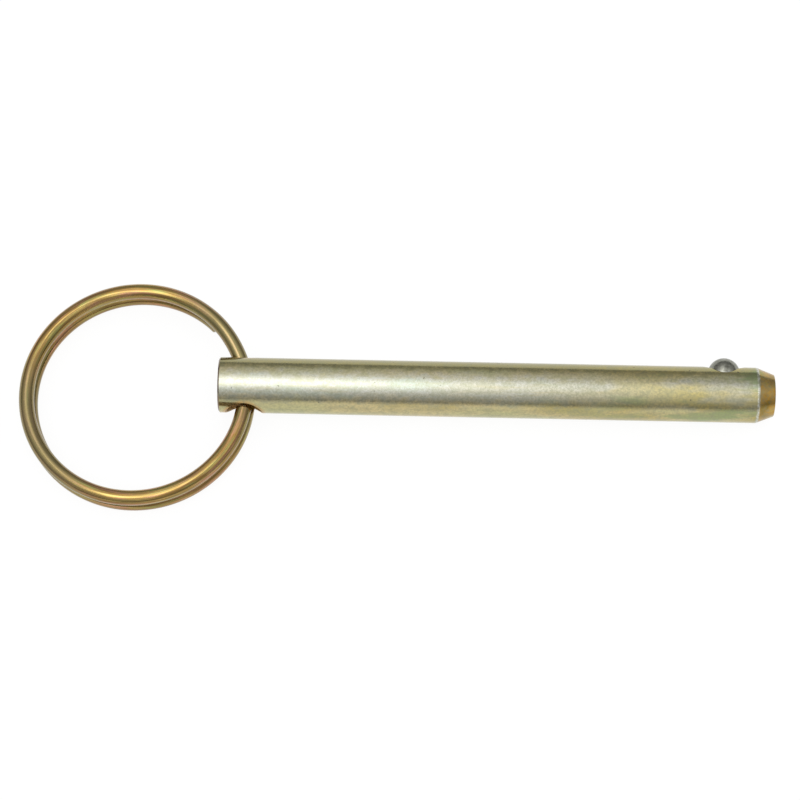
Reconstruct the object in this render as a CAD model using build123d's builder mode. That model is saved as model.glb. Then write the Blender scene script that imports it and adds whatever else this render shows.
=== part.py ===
from build123d import *
import math
import os

# A ball detent pin: a turned steel pin with a split ring through its cross hole.
# A sprung ball near the tip snaps out behind whatever the pin has gone through.
# Lengths are in millimetres and angles in degrees.
# +X runs along the pin to its tip and +Z is up. The origin is on the pin's axis,
# halfway along the grip, the plain length between the ring's hole and the ball.

# Driving dimensions of the turned pin
pin_diameter = 9.525
pin_length = 95.0
pin_end_break = 0.25
lead_taper_length = 2.95
lead_taper_angle = 21.5
lead_shoulder_round = 0.4
lead_nose_round = 0.5

# Driving dimensions of the split ring
ring_wire = 2.667
ring_mean_diameter = 37.64
ring_coil_gap = 0.05
ring_sideways = 1.83
ring_bow_past_hole = 0.19
back_coil_slip_along = 0.2
back_coil_slip_sideways = 0.03
front_end_angle = -7.0
back_end_angle = 45.0
ring_wire_sides = 16

# Driving dimensions of the ring's hole across the pin
ring_hole_clearance = 0.32
ring_hole_from_end = 4.4
ring_hole_drop = 0.9
ring_hole_break = 0.25

# Driving dimensions of the ball, its blind bore and the staked lip that keeps it in
ball_diameter = 5.556
ball_from_tip = 8.5
ball_clock_angle = 20.0
ball_proud = 1.52
ball_clearance = 0.05
stake_lip = 0.19
stake_width = 0.95
bore_past_axis = 2.3
drill_point_angle = 118.0

# Driving dimensions of the spring under the ball
spring_wire = 0.4
spring_working_turns = 2
spring_closed_gap = 0.02
spring_side_clearance = 0.45
spring_end_clearance = 0.05
spring_wire_sides = 6

# The hole's radius leaves the two coils room to swing in it, bowed as they are
pin_radius = pin_diameter / 2
wire_radius = ring_wire / 2
coil_pitch = ring_wire + ring_coil_gap
coils_reach = math.hypot(ring_bow_past_hole + back_coil_slip_along, coil_pitch / 2)
ring_hole_radius = coils_reach + wire_radius + ring_hole_clearance

# The bore's radii, and the height of the ball's middle above the pin's axis
ball_radius = ball_diameter / 2
bore_radius = ball_radius + ball_clearance
stake_inner_radius = bore_radius - stake_lip
stake_outer_radius = stake_inner_radius + stake_width
ball_height = pin_radius + ball_proud - ball_radius

# Places along the pin
grip_start = ring_hole_from_end + ring_hole_radius + ring_hole_break
grip_end = pin_length - ball_from_tip - stake_outer_radius
ring_end_x = -(grip_start + grip_end) / 2
tip_x = ring_end_x + pin_length
ring_hole_x = ring_end_x + ring_hole_from_end
ball_x = tip_x - ball_from_tip

# The line the ball is pressed along, and the section through it and the pin's axis
ball_across = math.cos(math.radians(ball_clock_angle))
ball_up = math.sin(math.radians(ball_clock_angle))
ball_plane = Plane(origin=(ball_x, 0, 0), x_dir=(1, 0, 0), z_dir=(0, ball_across, ball_up))
ball_section = Plane(origin=(ball_x, 0, 0), x_dir=(1, 0, 0), z_dir=(0, -ball_up, ball_across))
ball_line = Axis((ball_x, 0, 0), (0, ball_across, ball_up))

# The bore's own form: a drill point, a straight wall, a round lip and a staked dish
drill_point_slope = math.tan(math.radians(drill_point_angle / 2))
drill_point_end = -bore_past_axis - bore_radius / drill_point_slope
lip_angle = math.degrees(math.acos(stake_inner_radius / bore_radius))
lip_height = ball_height + bore_radius * math.sin(math.radians(lip_angle))
dish_slope = stake_width / (pin_radius - lip_height)
dish_top = pin_radius + ball_proud
dish_radius = stake_inner_radius + dish_slope * (dish_top - lip_height)

# Turned pin, with its tapered lead, the ring's hole and the ball's bore
with BuildPart() as pin_body:
    with BuildSketch(Plane.XZ) as pin_half_section:
        with BuildLine():
            Polyline(
                (ring_end_x, 0),
                (ring_end_x, pin_radius),
                (tip_x - lead_taper_length, pin_radius),
                (tip_x, pin_radius - lead_taper_length * math.tan(math.radians(lead_taper_angle))),
                (tip_x, 0),
                close=True,
            )
        make_face()
        ring_end_corners, lead_shoulder, lead_nose_corners = pin_half_section.vertices().group_by(Axis.X)
        chamfer(ring_end_corners.sort_by(Axis.Y)[-1], length=pin_end_break)
        fillet(lead_shoulder, radius=lead_shoulder_round)
        fillet(lead_nose_corners.sort_by(Axis.Y)[-1], radius=lead_nose_round)
    revolve(axis=Axis.X)
    with BuildSketch(Plane.XZ) as ring_hole_section:
        with Locations((ring_hole_x, -ring_hole_drop)):
            Circle(ring_hole_radius)
    extrude(amount=pin_radius, both=True, mode=Mode.SUBTRACT)
    ring_hole_mouths = pin_body.edges(Select.LAST).filter_by(GeomType.LINE, reverse=True)
    chamfer(ring_hole_mouths, length=ring_hole_break)
    with BuildSketch(ball_section) as bore_half_section:
        with BuildLine():
            Polyline((0, drill_point_end), (bore_radius, -bore_past_axis), (bore_radius, ball_height))
            CenterArc((0, ball_height), bore_radius, 0, lip_angle)
            Polyline((stake_inner_radius, lip_height), (dish_radius, dish_top), (0, dish_top))
            Line((0, dish_top), (0, drill_point_end))
        make_face()
    revolve(axis=ball_line, mode=Mode.SUBTRACT)
pin_body.part.label = "pin_body"

# Detent ball, held out against its lip
with BuildPart(ball_plane.offset(ball_height)) as detent_ball:
    Sphere(ball_radius)
detent_ball.part.label = "detent_ball"

# Spring under the ball, with a closed turn at each end: one on the drill point's edge, one at the ball.
# It is out of sight, so its round wire is drawn six-sided to keep its faces few.
spring_radius = bore_radius - spring_side_clearance - spring_wire / 2
spring_closed_pitch = spring_wire + spring_closed_gap
spring_seat = -bore_past_axis - spring_side_clearance / drill_point_slope
spring_foot = spring_seat + spring_end_clearance + spring_wire / 2
spring_reach = math.sqrt((ball_radius + spring_end_clearance + spring_wire / 2) ** 2 - spring_radius**2)
spring_head = ball_height - spring_reach
spring_working_pitch = (spring_head - spring_foot - 2 * spring_closed_pitch) / spring_working_turns


def spring_turns(start_height, pitch, turns):
    """Whole turns of the spring's centre line, from a height along the ball's line."""
    return Helix(
        pitch=pitch,
        height=pitch * turns,
        radius=spring_radius,
        center=ball_plane.offset(start_height).origin,
        direction=ball_plane.z_dir,
    )


with BuildPart() as detent_spring:
    with BuildLine() as spring_path:
        lower_closed_turn = spring_turns(spring_foot, spring_closed_pitch, 1)
        spring_turns(spring_foot + spring_closed_pitch, spring_working_pitch, spring_working_turns)
        spring_turns(spring_head - spring_closed_pitch, spring_closed_pitch, 1)
    with BuildSketch(Plane(origin=lower_closed_turn @ 0, z_dir=lower_closed_turn % 0)) as spring_section:
        RegularPolygon(spring_wire / 2, spring_wire_sides)
    sweep(path=spring_path.line, is_frenet=True)
detent_spring.part.label = "detent_spring"

# The ring hinges in its hole and droops until its far side lies level with the pin's lowest line.
# Its back coil has slipped a little off the front one.
ring_mean_radius = ring_mean_diameter / 2
ring_middle_back = ring_mean_radius - ring_bow_past_hole
ring_reach = ring_middle_back + ring_mean_radius
ring_drop = pin_radius - ring_hole_drop - wire_radius
droop = math.asin(ring_drop / math.hypot(ring_reach, coil_pitch / 2)) - math.atan2(coil_pitch / 2, ring_reach)
ring_plane = Plane(
    origin=(ring_hole_x, 0, -ring_hole_drop),
    x_dir=(math.cos(droop), 0, math.sin(droop)),
    z_dir=(-math.sin(droop), 0, math.cos(droop)),
)
coil_turn = back_end_angle - front_end_angle - 360


def ring_point(angle, height):
    """A point on the wire's centre line, by its angle about the ring's middle and its height."""
    slip = 0.5 - height / coil_pitch
    x = ring_mean_radius * math.cos(math.radians(angle)) - ring_middle_back + slip * back_coil_slip_along
    y = ring_mean_radius * math.sin(math.radians(angle)) - ring_sideways - slip * back_coil_slip_sideways
    return ring_plane.from_local_coords((x, y, height))


def coil_arc(height):
    """One coil's arc, the long way round from the front end's angle to the back end's."""
    middle = ring_point(front_end_angle + coil_turn / 2, height)
    return ThreePointArc(ring_point(front_end_angle, height), middle, ring_point(back_end_angle, height))


# Split ring: one round wire in two coils, joined by a bend that lies in the pin's hole.
# The wire is drawn many-sided, inside its real round, to keep its faces few.
# The bend's handles have the length that keeps it on the coils' circle.
crossover_turn = math.radians(back_end_angle - front_end_angle)
crossover_handle = 4 / 3 * math.tan(crossover_turn / 4) * ring_mean_radius
with BuildPart() as split_ring:
    with BuildLine() as ring_wire_path:
        front_coil = coil_arc(coil_pitch / 2)
        back_coil = coil_arc(-coil_pitch / 2)
        Bezier(
            front_coil @ 1,
            front_coil @ 1 + front_coil % 1 * crossover_handle,
            back_coil @ 0 - back_coil % 0 * crossover_handle,
            back_coil @ 0,
        )
    wire_end_plane = Plane(origin=front_coil @ 0, x_dir=ring_plane.z_dir, z_dir=front_coil % 0)
    with BuildSketch(wire_end_plane) as ring_wire_section:
        RegularPolygon(wire_radius, ring_wire_sides)
    sweep(path=ring_wire_path.line)
split_ring.part.label = "split_ring"

# One file for each piece
os.makedirs("parts", exist_ok=True)
for piece in (pin_body, detent_ball, detent_spring, split_ring):
    export_step(piece.part, f"parts/{piece.part.label}.step")
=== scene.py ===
import math

import bpy
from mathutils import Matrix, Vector


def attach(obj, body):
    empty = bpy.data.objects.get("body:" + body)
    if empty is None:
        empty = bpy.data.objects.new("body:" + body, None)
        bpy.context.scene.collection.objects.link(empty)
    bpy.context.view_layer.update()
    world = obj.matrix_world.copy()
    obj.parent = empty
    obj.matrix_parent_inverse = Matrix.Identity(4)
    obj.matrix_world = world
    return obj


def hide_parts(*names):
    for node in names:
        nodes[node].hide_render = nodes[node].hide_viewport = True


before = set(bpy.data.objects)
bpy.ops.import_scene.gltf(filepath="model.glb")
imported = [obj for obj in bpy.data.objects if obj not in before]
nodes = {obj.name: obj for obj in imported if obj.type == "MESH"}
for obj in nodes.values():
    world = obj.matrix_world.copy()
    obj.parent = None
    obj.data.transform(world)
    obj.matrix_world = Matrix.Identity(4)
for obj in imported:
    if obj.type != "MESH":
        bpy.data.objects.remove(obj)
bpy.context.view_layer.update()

# Lengths are in metres, in the solids' own frame: +X to the tip, +Z up, the origin on the pin's axis
PIN_RADIUS = 0.0047625
PIN_LENGTH = 0.095
RING_END_X = -0.0453144
TIP_X = RING_END_X + PIN_LENGTH
TAPER_LENGTH = 0.00295
SHOULDER_X = TIP_X - TAPER_LENGTH
RING_HOLE_X = RING_END_X + 0.0044
RING_HOLE_Z = -0.0009
RING_HOLE_RADIUS = 0.0030669
BALL_X = TIP_X - 0.0085
BALL_RADIUS = 0.002778
BALL_PROUD = 0.00152
BALL_HEIGHT = PIN_RADIUS + BALL_PROUD - BALL_RADIUS
BALL_CLOCK = math.radians(20.0)
BALL_MIDDLE = (BALL_X, BALL_HEIGHT * math.cos(BALL_CLOCK), BALL_HEIGHT * math.sin(BALL_CLOCK))

# The split ring's coils, as the solid has them. The round wire stays within the many-sided one's reach.
WIRE_RADIUS = 0.001316
RING_MEAN_RADIUS = 0.03764 / 2
COIL_PITCH = 0.002667 + 0.00005
RING_BACK = RING_MEAN_RADIUS - 0.00019
RING_SIDEWAYS = 0.00183
SLIP_ALONG = 0.0002
SLIP_SIDEWAYS = 0.00003
FRONT_END_ANGLE = -7.0
BACK_END_ANGLE = 45.0
WIRE_END_BREAK = 0.00025
RING_DROOP = math.radians(1.7921)

# The round wire's mesh: points along one coil and along the bend, and sides round the wire
COIL_STEPS = 210
BEND_STEPS = 36
WIRE_SIDES = 40

# The camera's direction and distance from the point it looks at, and its lens in millimetres
CAMERA_AZIMUTH = math.radians(1.2238)
CAMERA_ELEVATION = math.radians(70.2957)
CAMERA_DISTANCE = 0.4445
CAMERA_LOOKS_AT_X = -0.014276
CAMERA_LOOKS_BELOW = 0.002008
CAMERA_LENS = 116.53
CAMERA_SENSOR = 36.0


# Camera: high in front of the pin, with the pin's axis a little above the picture's middle
def add_camera():
    away = Vector(
        (
            math.sin(CAMERA_AZIMUTH) * math.cos(CAMERA_ELEVATION),
            -math.cos(CAMERA_AZIMUTH) * math.cos(CAMERA_ELEVATION),
            math.sin(CAMERA_ELEVATION),
        )
    )
    turn = away.to_track_quat("Z", "Y")
    picture_up = turn @ Vector((0.0, 1.0, 0.0))
    looked_at = Vector((CAMERA_LOOKS_AT_X, 0.0, 0.0)) - CAMERA_LOOKS_BELOW * picture_up
    data = bpy.data.cameras.new("camera")
    data.lens = CAMERA_LENS
    data.sensor_width = CAMERA_SENSOR
    data.clip_start = 0.01
    camera = bpy.data.objects.new("camera", data)
    camera.rotation_mode = "QUATERNION"
    camera.rotation_quaternion = turn
    camera.location = looked_at + CAMERA_DISTANCE * away
    bpy.context.scene.collection.objects.link(camera)
    bpy.context.scene.camera = camera


add_camera()
bpy.context.scene.view_settings.view_transform = "Standard"


# Shader nodes
class Shader:
    """One material's node tree, with short calls for the nodes that this scene uses."""

    def __init__(self, name):
        self.material = bpy.data.materials.new(name)
        self.material.use_nodes = True
        self.tree = self.material.node_tree
        self.surface = self.tree.nodes["Principled BSDF"]
        self.output = self.tree.nodes["Material Output"]

    def add(self, kind, **settings):
        made = self.tree.nodes.new(kind)
        for name, value in settings.items():
            setattr(made, name, value)
        return made

    def put(self, socket, value):
        if hasattr(value, "is_output"):
            self.tree.links.new(value, socket)
        else:
            socket.default_value = value

    def place(self):
        return self.add("ShaderNodeTexCoord").outputs["Object"]

    def parts(self, vector):
        split = self.add("ShaderNodeSeparateXYZ")
        self.put(split.inputs[0], vector)
        return split.outputs[0], split.outputs[1], split.outputs[2]

    def join(self, x, y, z):
        joined = self.add("ShaderNodeCombineXYZ")
        for socket, value in zip(joined.inputs, (x, y, z)):
            self.put(socket, value)
        return joined.outputs[0]

    def math(self, operation, a, b=0.0):
        made = self.add("ShaderNodeMath", operation=operation)
        self.put(made.inputs[0], a)
        self.put(made.inputs[1], b)
        return made.outputs[0]

    def away_from(self, value, middle):
        return self.math("ABSOLUTE", self.math("SUBTRACT", value, middle))

    def scaled(self, vector, scale, shift=(0.0, 0.0, 0.0)):
        made = self.add("ShaderNodeMapping")
        self.put(made.inputs["Vector"], vector)
        made.inputs["Scale"].default_value = scale
        made.inputs["Location"].default_value = shift
        return made.outputs[0]

    def noise(self, vector, scale=1.0, detail=3.0, roughness=0.55):
        made = self.add("ShaderNodeTexNoise")
        self.put(made.inputs["Vector"], vector)
        made.inputs["Scale"].default_value = scale
        made.inputs["Detail"].default_value = detail
        made.inputs["Roughness"].default_value = roughness
        return made.outputs["Fac"]

    def spread(self, value, low, high, to_low=0.0, to_high=1.0, smooth=True):
        made = self.add("ShaderNodeMapRange")
        made.interpolation_type = "SMOOTHSTEP" if smooth else "LINEAR"
        self.put(made.inputs["Value"], value)
        made.inputs["From Min"].default_value = low
        made.inputs["From Max"].default_value = high
        made.inputs["To Min"].default_value = to_low
        made.inputs["To Max"].default_value = to_high
        return made.outputs["Result"]

    def mix_of(self, kind, share, a, b):
        made = self.add("ShaderNodeMix", data_type="RGBA" if kind == "Color" else "FLOAT")
        sockets = {socket.identifier: socket for socket in made.inputs}
        for name, value in (("Factor_Float", share), ("A_" + kind, a), ("B_" + kind, b)):
            self.put(sockets[name], (*value, 1.0) if isinstance(value, tuple) else value)
        return {socket.identifier: socket for socket in made.outputs}["Result_" + kind]

    def mix(self, share, a, b):
        return self.mix_of("Color", share, a, b)

    def mix_values(self, share, a, b):
        return self.mix_of("Float", share, a, b)

    def ramp(self, value, stops):
        made = self.add("ShaderNodeValToRGB")
        self.put(made.inputs[0], value)
        band = made.color_ramp
        while len(band.elements) < len(stops):
            band.elements.new(0.5)
        for element, (at, colour) in zip(band.elements, stops):
            element.position = at
            element.color = (*colour, 1.0)
        return made.outputs["Color"]

    def vector(self, operation, a, b=(0.0, 0.0, 0.0)):
        made = self.add("ShaderNodeVectorMath", operation=operation)
        self.put(made.inputs[0], a)
        self.put(made.inputs[1], b)
        return made.outputs["Value" if operation == "DOT_PRODUCT" else "Vector"]

    def turned(self, normal, before, after):
        made = self.add("ShaderNodeVectorTransform", vector_type="NORMAL")
        made.convert_from = before
        made.convert_to = after
        self.put(made.inputs[0], normal)
        return made.outputs[0]

    def bump(self, height, depth, strength=1.0, over=None):
        made = self.add("ShaderNodeBump")
        self.put(made.inputs["Height"], height)
        made.inputs["Strength"].default_value = strength
        made.inputs["Distance"].default_value = depth
        if over is not None:
            self.put(made.inputs["Normal"], over)
        return made.outputs["Normal"]

    def finish(self, colour, roughness, normal=None):
        self.put(self.surface.inputs["Base Color"], colour)
        self.put(self.surface.inputs["Roughness"], roughness)
        self.surface.inputs["Metallic"].default_value = 1.0
        if normal is not None:
            self.put(self.surface.inputs["Normal"], normal)
        return self.material


def lathe_normal(s, y, z):
    """The surface's own normal, made to point straight out from the pin's axis on the turned wall."""
    own = s.turned(s.add("ShaderNodeNewGeometry").outputs["Normal"], "WORLD", "OBJECT")
    sideways = s.vector("NORMALIZE", s.join(0.0, s.math("MULTIPLY", z, -1.0), y))
    lean = s.vector("DOT_PRODUCT", own, sideways)
    share = s.spread(s.math("ABSOLUTE", lean), 0.10, 0.08, smooth=False)
    lean = s.math("MULTIPLY", lean, share)
    straight = s.vector("SUBTRACT", own, s.vector("MULTIPLY", sideways, s.join(lean, lean, lean)))
    return s.turned(s.vector("NORMALIZE", straight), "OBJECT", "WORLD")


# Turned pin: passivated zinc, golden down its sides and round the ring's hole; the silvery green along the
# top is a painted highlight tint, and the darkest film on the back side is painted shade
def pin_plating():
    s = Shader("pin_plating")
    at = s.place()
    x, y, z = s.parts(at)
    clouds = s.noise(s.scaled(at, (70.0, 300.0, 300.0)), detail=4.0)
    patches = s.noise(s.scaled(at, (55.0, 170.0, 170.0), (1.3, 4.0, 2.0)), detail=3.0)
    streaks = s.noise(s.scaled(at, (160.0, 1500.0, 1500.0), (3.0, 1.0, 7.0)), detail=3.0)
    mottle = s.noise(s.scaled(at, (2400.0, 2400.0, 2400.0)), detail=4.0, roughness=0.7)
    dapple_place = s.scaled(at, (620.0, 900.0, 900.0), (7.0, 3.0, 1.0))
    dapple = s.noise(dapple_place, detail=4.0, roughness=0.6)
    # Angle about the pin's axis in radians, from the top towards the front, with an uneven edge
    turn = s.math("ARCTAN2", s.math("MULTIPLY", y, -1.0), z)
    unevenness = s.math("MULTIPLY", s.math("SUBTRACT", dapple, 0.5), 0.7)
    turn = s.math("ADD", turn, unevenness)
    # Silvery green, strongest where the overhead window reflects: a painted highlight tint
    painted_highlight_silver = s.ramp(
        clouds,
        (
            (0.34, (0.43, 0.42, 0.34)),
            (0.48, (0.43, 0.43, 0.38)),
            (0.60, (0.41, 0.44, 0.38)),
            (0.70, (0.36, 0.43, 0.37)),
        ),
    )
    golden_and_back_shade = s.ramp(
        patches,
        (
            (0.34, (0.47, 0.39, 0.17)),
            (0.50, (0.60, 0.50, 0.26)),
            (0.66, (0.50, 0.48, 0.25)),
        ),
    )
    # The side away from the front is painted darkest: painted shade for the dark surroundings it reflects
    back_painted_shade = (0.37, 0.33, 0.15)
    golden_and_back_shade = s.mix(s.spread(turn, -0.30, -0.60), golden_and_back_shade, back_painted_shade)
    # The painted highlight tint is centred 0.30 rad from the top, at the window's reflection
    painted_highlight_middle = 0.30
    shank = s.mix(s.spread(s.away_from(turn, painted_highlight_middle), 0.20, 0.80), painted_highlight_silver, golden_and_back_shade)
    # The film is greener and more golden towards the tip
    tip_gold = (0.45, 0.38, 0.14)
    tip_green = (0.25, 0.33, 0.15)
    to_tip = s.spread(x, 0.000, 0.046)
    gold_share = s.math("MULTIPLY", to_tip, s.spread(patches, 0.62, 0.46))
    shank = s.mix(gold_share, shank, tip_gold)
    green_share = s.math("MULTIPLY", to_tip, s.spread(clouds, 0.50, 0.62, 0.0, 0.8))
    shank = s.mix(green_share, shank, tip_green)
    streak_film = (0.42, 0.36, 0.20)
    shank = s.mix(s.spread(streaks, 0.50, 0.72, 0.0, 0.35), shank, streak_film)
    # The tapered lead, the tip's face and the mouth and wall of the ring's hole keep the gold film; the
    # hole's wall is painted a paler gold, painted light standing in for the lit bore
    lead_film = s.ramp(
        s.noise(s.scaled(at, (300.0, 420.0, 420.0)), detail=4.0),
        (
            (0.35, (0.30, 0.19, 0.03)),
            (0.48, (0.47, 0.27, 0.05)),
            (0.58, (0.50, 0.33, 0.09)),
            (0.68, (0.35, 0.33, 0.09)),
        ),
    )
    shank = s.mix(s.spread(x, SHOULDER_X + 0.00005, SHOULDER_X + 0.0003), shank, lead_film)
    across = s.math("SUBTRACT", x, RING_HOLE_X)
    up = s.math("SUBTRACT", z, RING_HOLE_Z)
    square_sum = s.math("ADD", s.math("POWER", across, 2.0), s.math("POWER", up, 2.0))
    past_hole = s.math("SUBTRACT", s.math("SQRT", square_sum), RING_HOLE_RADIUS)
    mouth_film = (0.55, 0.36, 0.14)
    wall_film_and_painted_light = (0.85, 0.55, 0.22)
    shank = s.mix(s.spread(past_hole, 0.0009, 0.0003), shank, mouth_film)
    wall = s.spread(past_hole, 0.00030, 0.00010)
    shank = s.mix(wall, shank, wall_film_and_painted_light)
    # The shoulder of the lead is painted pale, partly rubbed wear and partly a painted highlight along its
    # edge, and the edge at the ring's end is dark
    shoulder_wear_and_highlight_film = (0.62, 0.62, 0.56)
    end_edge_film = (0.17, 0.10, 0.07)
    shoulder = s.spread(s.away_from(x, SHOULDER_X), 0.00035, 0.0001)
    rubbed = s.math("MULTIPLY", shoulder, s.spread(mottle, 0.35, 0.6, 0.3, 1.0))
    shank = s.mix(rubbed, shank, shoulder_wear_and_highlight_film)
    shank = s.mix(s.spread(x, RING_END_X + 0.00030, RING_END_X + 0.00018), shank, end_edge_film)
    # Grain and pits
    fine_grain = (0.25, 0.25, 0.16)
    coarse_grain = (0.27, 0.28, 0.18)
    pit_film = (0.10, 0.09, 0.06)
    shank = s.mix(s.spread(mottle, 0.36, 0.62, 0.42, 0.0), shank, fine_grain)
    shank = s.mix(s.spread(dapple, 0.36, 0.56, 0.32, 0.0), shank, coarse_grain)
    pits = s.noise(s.scaled(at, (1700.0, 1700.0, 1700.0), (5.0, 2.0, 9.0)), detail=1.0)
    pit = s.spread(pits, 0.77, 0.80)
    shank = s.mix(pit, shank, pit_film)
    wall_roughness = 0.5
    wall_metallic = 0.10
    roughness = s.mix_values(wall, s.spread(mottle, 0.3, 0.7, 0.14, 0.25), wall_roughness)
    s.put(s.surface.inputs["Metallic"], s.spread(wall, 0.0, 1.0, 1.0, wall_metallic))
    normal = s.bump(dapple, 0.00003, 0.35, lathe_normal(s, y, z))
    normal = s.bump(mottle, 0.00001, 0.30, normal)
    normal = s.bump(s.math("SUBTRACT", 1.0, pit), 0.00004, 0.5, normal)
    return s.finish(shank, roughness, normal)


# Split ring: the thick gold film, streaked pink and green along the drawn wire
def ring_plating():
    s = Shader("ring_plating")
    along = s.add("ShaderNodeAttribute", attribute_name="along").outputs["Fac"]
    around = s.add("ShaderNodeAttribute", attribute_name="around").outputs["Fac"]
    line = s.join(along, s.math("COSINE", around), s.math("SINE", around))
    long_streaks = s.noise(s.scaled(line, (60.0, 2.6, 2.6)), detail=3.0)
    fine_streaks = s.noise(s.scaled(line, (150.0, 9.0, 9.0), (4.0, 1.0, 2.0)), detail=3.0)
    tint = s.noise(s.scaled(line, (110.0, 2.2, 2.2), (9.0, 5.0, 3.0)), detail=2.0)
    mottle = s.noise(s.scaled(s.place(), (2600.0, 2600.0, 2600.0)), detail=4.0, roughness=0.7)
    film = s.ramp(
        long_streaks,
        (
            (0.32, (0.22, 0.12, 0.02)),
            (0.44, (0.39, 0.23, 0.05)),
            (0.55, (0.53, 0.37, 0.11)),
            (0.68, (0.42, 0.39, 0.12)),
        ),
    )
    pink = (0.60, 0.29, 0.18)
    green = (0.34, 0.41, 0.12)
    dark_streak = (0.17, 0.09, 0.02)
    film = s.mix(s.spread(tint, 0.52, 0.64, 0.0, 0.85), film, pink)
    film = s.mix(s.spread(tint, 0.46, 0.34, 0.0, 0.75), film, green)
    film = s.mix(s.spread(fine_streaks, 0.42, 0.62, 0.75, 0.0), film, dark_streak)
    # Two stretches are painted darker olive, as painted shade where the wire's sides catch no highlight:
    # the ring's side away from the pin, and beside the pin's far wall
    olive_painted_shade = (0.23, 0.20, 0.09)
    painted_shade_middle = 0.44
    x, y, z = s.parts(s.place())
    from_middle_x = s.math("SUBTRACT", x, RING_HOLE_X - RING_BACK)
    turn = s.math("ARCTAN2", s.math("ADD", y, RING_SIDEWAYS), from_middle_x)
    painted_shade_stretch = s.math("COSINE", s.math("MULTIPLY", s.math("SUBTRACT", turn, painted_shade_middle), 2.0))
    film = s.mix(s.spread(painted_shade_stretch, -0.3, 0.9, 0.0, 0.75), film, olive_painted_shade)
    grain = (0.20, 0.15, 0.08)
    film = s.mix(s.spread(mottle, 0.4, 0.62, 0.30, 0.0), film, grain)
    roughness = s.spread(mottle, 0.3, 0.7, 0.12, 0.24)
    normal = s.bump(fine_streaks, 0.00002, 0.3)
    normal = s.bump(mottle, 0.00002, 0.25, normal)
    s.surface.inputs["Coat Weight"].default_value = 0.3
    s.surface.inputs["Coat Roughness"].default_value = 0.10
    return s.finish(film, roughness, normal)


# Ball and spring: plain steel, darker than the plating and polished by use
def ball_steel():
    s = Shader("ball_steel")
    at = s.place()
    mottle = s.noise(s.scaled(at, (1800.0, 1800.0, 1800.0)), detail=4.0, roughness=0.65)
    rubbed = s.noise(s.scaled(at, (700.0, 2400.0, 2400.0), (2.0, 0.0, 4.0)), detail=3.0)
    steel = s.ramp(
        mottle,
        (
            (0.32, (0.16, 0.16, 0.13)),
            (0.55, (0.27, 0.27, 0.23)),
            (0.72, (0.36, 0.36, 0.31)),
        ),
    )
    roughness = s.spread(rubbed, 0.35, 0.65, 0.14, 0.26)
    out = s.vector("NORMALIZE", s.vector("SUBTRACT", at, BALL_MIDDLE))
    return s.finish(steel, roughness, s.bump(mottle, 0.00002, 0.2, s.turned(out, "OBJECT", "WORLD")))


def spring_steel():
    s = Shader("spring_steel")
    drawn = s.noise(s.scaled(s.place(), (2200.0, 2200.0, 2200.0)), detail=3.0)
    steel = s.ramp(drawn, ((0.35, (0.24, 0.24, 0.23)), (0.65, (0.42, 0.42, 0.40))))
    return s.finish(steel, s.spread(drawn, 0.3, 0.7, 0.28, 0.42), s.bump(drawn, 0.00002, 0.3))


def dress(node, material):
    node.data.materials.clear()
    node.data.materials.append(material)


dress(nodes["pin_body"], pin_plating())
dress(nodes["detent_ball"], ball_steel())
dress(nodes["detent_spring"], spring_steel())


# Round wire of the split ring, in the solid's place
def ring_line():
    """Points along the wire's centre line from its front end to its back end, and the ring's own axis."""
    ring_x = Vector((math.cos(RING_DROOP), 0.0, math.sin(RING_DROOP)))
    ring_y = Vector((0.0, 1.0, 0.0))
    ring_z = Vector((-math.sin(RING_DROOP), 0.0, math.cos(RING_DROOP)))
    hinge = Vector((RING_HOLE_X, 0.0, RING_HOLE_Z))

    def point(angle, height):
        slip = 0.5 - height / COIL_PITCH
        back = RING_BACK - slip * SLIP_ALONG
        sideways = RING_SIDEWAYS + slip * SLIP_SIDEWAYS
        outward = math.cos(math.radians(angle)) * ring_x + math.sin(math.radians(angle)) * ring_y
        middle = hinge - back * ring_x - sideways * ring_y
        return middle + RING_MEAN_RADIUS * outward + height * ring_z

    def coil(height):
        turn = BACK_END_ANGLE - FRONT_END_ANGLE - 360.0
        return [point(FRONT_END_ANGLE + turn * step / COIL_STEPS, height) for step in range(COIL_STEPS + 1)]

    points = coil(COIL_PITCH / 2)
    for step in range(1, BEND_STEPS):
        share = step / BEND_STEPS
        height = COIL_PITCH / 2 * (1 - 6 * share**2 + 4 * share**3)
        points.append(point(BACK_END_ANGLE + (FRONT_END_ANGLE - BACK_END_ANGLE) * share, height))
    return points + coil(-COIL_PITCH / 2), ring_z


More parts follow.
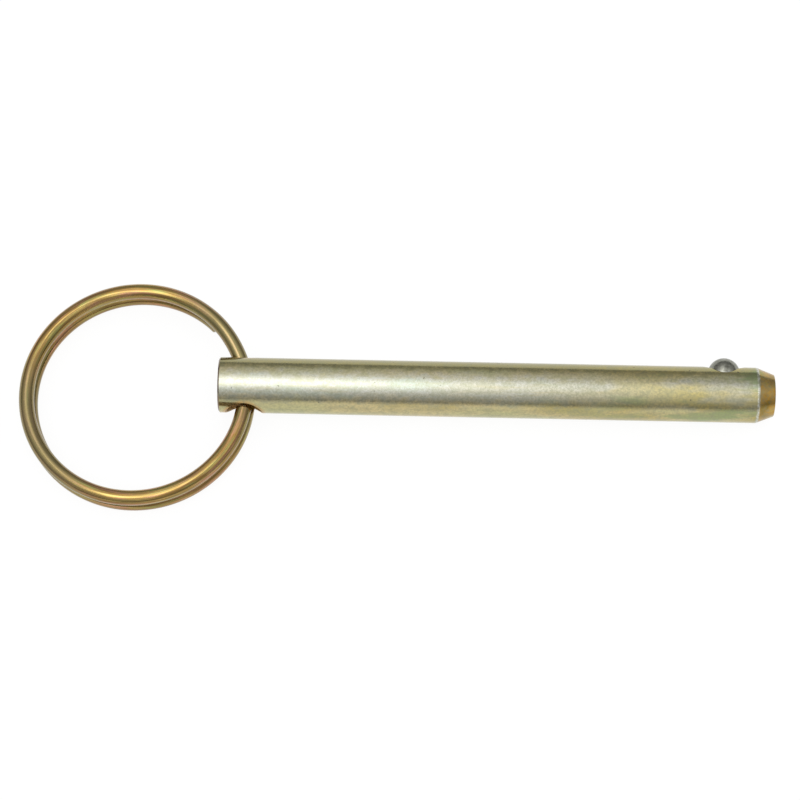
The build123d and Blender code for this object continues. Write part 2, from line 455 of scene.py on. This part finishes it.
def round_wire():
    points, ring_z = ring_line()
    # Both ends are broken at 45 degrees: the last rings stand in from the wire's full radius
    start_way = (points[1] - points[0]).normalized()
    end_way = (points[-1] - points[-2]).normalized()
    end_radius = WIRE_RADIUS - WIRE_END_BREAK
    rings = [
        (points[0], start_way, end_radius),
        (points[0] + WIRE_END_BREAK * start_way, start_way, WIRE_RADIUS),
    ]
    for before, here, after in zip(points, points[1:], points[2:]):
        rings.append((here, (after - before).normalized(), WIRE_RADIUS))
    rings.append((points[-1] - WIRE_END_BREAK * end_way, end_way, WIRE_RADIUS))
    rings.append((points[-1], end_way, end_radius))
    vertices = []
    along_values = []
    around_values = []
    travelled = 0.0
    last = points[0]
    for middle, way, radius in rings:
        travelled += (middle - last).length
        last = middle
        out = way.cross(ring_z).normalized()
        side = way.cross(out).normalized()
        for step in range(WIRE_SIDES):
            angle = 2 * math.pi * step / WIRE_SIDES
            vertices.append(middle + radius * (math.cos(angle) * out + math.sin(angle) * side))
            along_values.append(travelled)
            around_values.append(angle)
    faces = []
    for ring in range(len(rings) - 1):
        for step in range(WIRE_SIDES):
            a = ring * WIRE_SIDES + step
            b = ring * WIRE_SIDES + (step + 1) % WIRE_SIDES
            faces.append((a, b, b + WIRE_SIDES, a + WIRE_SIDES))
    last_ring = (len(rings) - 1) * WIRE_SIDES
    faces.append(tuple(reversed(range(WIRE_SIDES))))
    faces.append(tuple(range(last_ring, last_ring + WIRE_SIDES)))
    mesh = bpy.data.meshes.new("split_ring_wire")
    mesh.from_pydata(vertices, [], faces)
    for name, values in (("along", along_values), ("around", around_values)):
        mesh.attributes.new(name, "FLOAT", "POINT").data.foreach_set("value", values)
    mesh.update()
    for polygon in mesh.polygons:
        polygon.use_smooth = len(polygon.vertices) == 4
    wire = bpy.data.objects.new("split_ring_wire", mesh)
    bpy.context.scene.collection.objects.link(wire)
    return wire


ring = round_wire()
ring.data.materials.append(ring_plating())
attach(ring, "ring")
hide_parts("split_ring")


# Floor, lamp and surroundings
FLOOR_WIDTH = 6.0
FLOOR_ALBEDO = 0.90
FLOOR_GLOW = 1.04
FLOOR_GLOW_SHARE = 0.88


def white_floor():
    """White to the camera and in reflections, with a share left to the lamp so that it keeps a shadow."""
    s = Shader("white_floor")
    path = s.add("ShaderNodeLightPath").outputs
    seen = s.math("MAXIMUM", path["Is Camera Ray"], path["Is Glossy Ray"])
    seen = s.math("MAXIMUM", seen, path["Is Transmission Ray"])
    s.tree.nodes.remove(s.surface)
    matt = s.add("ShaderNodeBsdfDiffuse")
    matt.inputs["Color"].default_value = (FLOOR_ALBEDO, FLOOR_ALBEDO, FLOOR_ALBEDO, 1.0)
    glow = s.add("ShaderNodeEmission")
    glow.inputs["Strength"].default_value = FLOOR_GLOW
    both = s.add("ShaderNodeMixShader")
    s.put(both.inputs[0], s.math("MULTIPLY", seen, FLOOR_GLOW_SHARE))
    s.put(both.inputs[1], matt.outputs[0])
    s.put(both.inputs[2], glow.outputs[0])
    s.put(s.output.inputs["Surface"], both.outputs[0])
    return s.material


def add_floor():
    half = FLOOR_WIDTH / 2
    corners = [(-half, -half, 0.0), (half, -half, 0.0), (half, half, 0.0), (-half, half, 0.0)]
    mesh = bpy.data.meshes.new("floor")
    mesh.from_pydata(corners, [], [(0, 1, 2, 3)])
    mesh.materials.append(white_floor())
    floor = bpy.data.objects.new("floor", mesh)
    floor.location = (0.0, 0.0, -PIN_RADIUS)
    bpy.context.scene.collection.objects.link(floor)


def add_softbox(name, size, middle, looked_at, radiance):
    data = bpy.data.lights.new(name, "AREA")
    data.shape = "RECTANGLE"
    data.size, data.size_y = size
    data.energy = radiance * math.pi * size[0] * size[1]
    lamp = bpy.data.objects.new(name, data)
    lamp.location = middle
    lamp.rotation_mode = "QUATERNION"
    lamp.rotation_quaternion = (Vector(middle) - Vector(looked_at)).to_track_quat("Z", "Y")
    lamp.visible_glossy = False
    bpy.context.scene.collection.objects.link(lamp)


# A studio tent round the object: only its reflection shows, brightest at its window overhead
TENT_RADIUS = 0.8
TENT_STEPS = 48
TENT_ROWS = 16
TENT_GLOW = 0.35
ROOF_GLOW = 1.1
SHADED_ROOF = 0.45
WINDOW_GLOW = 2.1
WINDOW_MIDDLE_Y = -0.09
WINDOW_SPREAD_Y = 0.36
FRONT_STRIP_GLOW = 0.40


def tent_glow():
    """Glow by direction: x, y and z are the parts of the unit vector from the pin's middle to the tent."""
    s = Shader("tent_glow")
    s.tree.nodes.remove(s.surface)
    away = s.add("ShaderNodeVectorMath", operation="NORMALIZE")
    s.put(away.inputs[0], s.place())
    x, y, z = s.parts(away.outputs[0])
    across = s.math("MULTIPLY", s.spread(x, 0.10, -0.10), s.spread(x, -0.50, -0.34))
    from_middle = s.math("SUBTRACT", y, WINDOW_MIDDLE_Y)
    along = s.math("POWER", s.math("DIVIDE", from_middle, WINDOW_SPREAD_Y), 2.0)
    window = s.math("MULTIPLY", across, s.math("EXPONENT", s.math("MULTIPLY", along, -1.0)))
    roof = s.math("MULTIPLY", s.math("POWER", s.math("MAXIMUM", z, 0.0), 2.0), ROOF_GLOW)
    shade = s.math("MULTIPLY", s.spread(x, -0.03, 0.17), s.spread(y, 0.1, 0.6))
    roof = s.math("MULTIPLY", roof, s.spread(shade, 0.0, 1.0, 1.0, SHADED_ROOF, smooth=False))
    front_strip = s.math("MULTIPLY", s.spread(z, 0.16, 0.12), s.spread(y, -0.2, -0.4))
    glow = s.math("ADD", s.math("ADD", TENT_GLOW, roof), s.math("MULTIPLY", window, WINDOW_GLOW))
    glow = s.math("ADD", glow, s.math("MULTIPLY", front_strip, FRONT_STRIP_GLOW))
    light = s.add("ShaderNodeEmission")
    s.put(light.inputs["Strength"], glow)
    s.put(s.output.inputs["Surface"], light.outputs[0])
    return s.material


def add_tent():
    vertices = []
    for row in range(TENT_ROWS):
        lift = math.pi / 2 * row / TENT_ROWS
        out = TENT_RADIUS * math.cos(lift)
        for step in range(TENT_STEPS):
            angle = 2 * math.pi * step / TENT_STEPS
            vertices.append((out * math.cos(angle), out * math.sin(angle), TENT_RADIUS * math.sin(lift)))
    vertices.append((0.0, 0.0, TENT_RADIUS))
    faces = []
    for row in range(TENT_ROWS - 1):
        for step in range(TENT_STEPS):
            a = row * TENT_STEPS + step
            b = row * TENT_STEPS + (step + 1) % TENT_STEPS
            faces.append((a, b, b + TENT_STEPS, a + TENT_STEPS))
    top_row = (TENT_ROWS - 1) * TENT_STEPS
    top = len(vertices) - 1
    for step in range(TENT_STEPS):
        faces.append((top_row + step, top_row + (step + 1) % TENT_STEPS, top))
    mesh = bpy.data.meshes.new("tent")
    mesh.from_pydata(vertices, [], faces)
    mesh.materials.append(tent_glow())
    tent = bpy.data.objects.new("tent", mesh)
    tent.location = (0.0, 0.0, -PIN_RADIUS)
    for ray in ("visible_camera", "visible_diffuse", "visible_shadow", "visible_transmission"):
        setattr(tent, ray, False)
    bpy.context.scene.collection.objects.link(tent)


add_floor()
add_softbox("overhead_softbox", (0.17, 0.20), (-0.09, -0.10, 0.60), (-0.03, 0.0, 0.0), 2.6)
add_tent()

world = bpy.data.worlds.new("surround")
world.use_nodes = True
background = world.node_tree.nodes["Background"]
background.inputs["Color"].default_value = (1.0, 1.0, 1.0, 1.0)
background.inputs["Strength"].default_value = 1.0
bpy.context.scene.world = world
